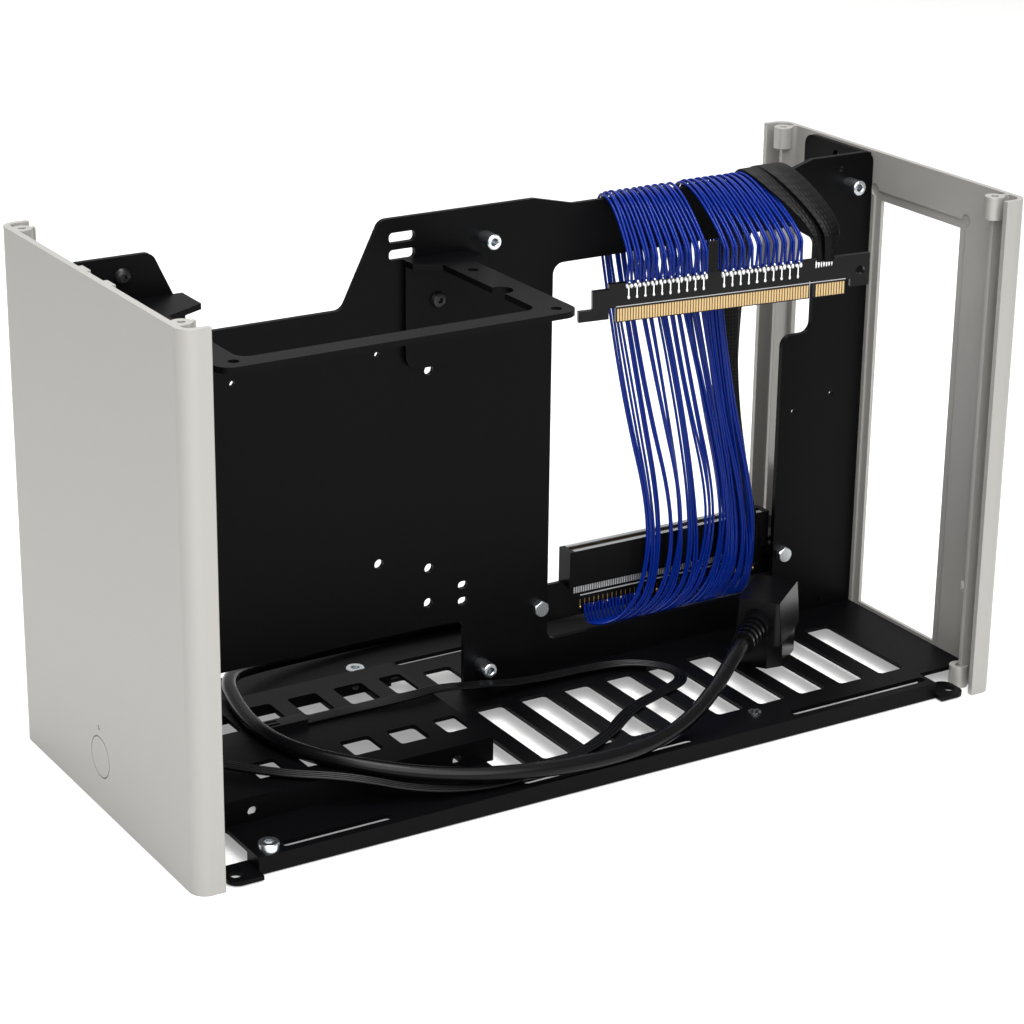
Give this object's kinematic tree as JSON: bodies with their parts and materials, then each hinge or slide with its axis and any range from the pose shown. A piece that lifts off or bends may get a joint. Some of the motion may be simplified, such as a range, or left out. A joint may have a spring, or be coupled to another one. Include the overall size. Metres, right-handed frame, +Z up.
{
  "type": "mini-itx pc case",
  "caption": "Open sandwich-layout mini-ITX computer case: extruded aluminium end panels, folded black steel tray, floor and brackets, riser wiring, mains lead and power button.",
  "frame": {"origin": "middle of the footprint, on the surface the case stands on", "axes": "+Z up, +Y from the front panel to the rear panel, +X to the main board side"},
  "size_m": [0.14, 0.32, 0.184],
  "materials": {
    "anodised_aluminium": "bead-blasted, clear anodised",
    "black_steel": "matt black powder coat",
    "zinc_steel": "zinc plated",
    "black_screw": "black oxide",
    "black_nylon": "moulded",
    "black_board": "solder mask",
    "blue_wire": "extruded insulation",
    "black_braid": "woven",
    "black_pvc": "satin moulded",
    "clear_acrylic": "polished"
  },
  "bodies": {
    "case": {"front_panel": "anodised_aluminium", "rear_panel": "anodised_aluminium", "floor_plate": "black_steel", "motherboard_tray": "black_steel", "psu_bracket": "black_steel", "drive_tray": "black_steel", "rear_tie_plate": "black_steel", "board_standoffs": "zinc_steel", "floor_screws": "zinc_steel", "tray_screws": "black_screw", "bracket_screws": "black_screw", "tie_screws": "black_screw", "floor_inserts": "zinc_steel", "riser_bolts": "zinc_steel", "riser_spacers": "black_nylon", "riser_nuts": "zinc_steel", "riser_slot_board": "black_board", "riser_slot": "black_nylon", "riser_plug_board": "black_board", "riser_wires_front": "blue_wire", "riser_wires_rear": "blue_wire", "riser_ribbon": "black_braid", "ac_plug": "black_pvc", "ac_inlet": "black_nylon", "strain_reliefs": "black_pvc", "ac_lead": "black_pvc", "button_housing": "black_nylon", "switch_board": "black_board", "tact_switch": "black_nylon", "led_pipe": "clear_acrylic", "switch_lead": "black_pvc", "switch_connector": "black_nylon"},
    "button": {"power_button": "anodised_aluminium"}
  },
  "joints": [
    {"name": "button_press", "type": "slide", "parent": "case", "child": "button", "axis": [0, 1, 0], "range_m": [0, 0.001], "stiffness_N_per_m": 400}
  ]
}
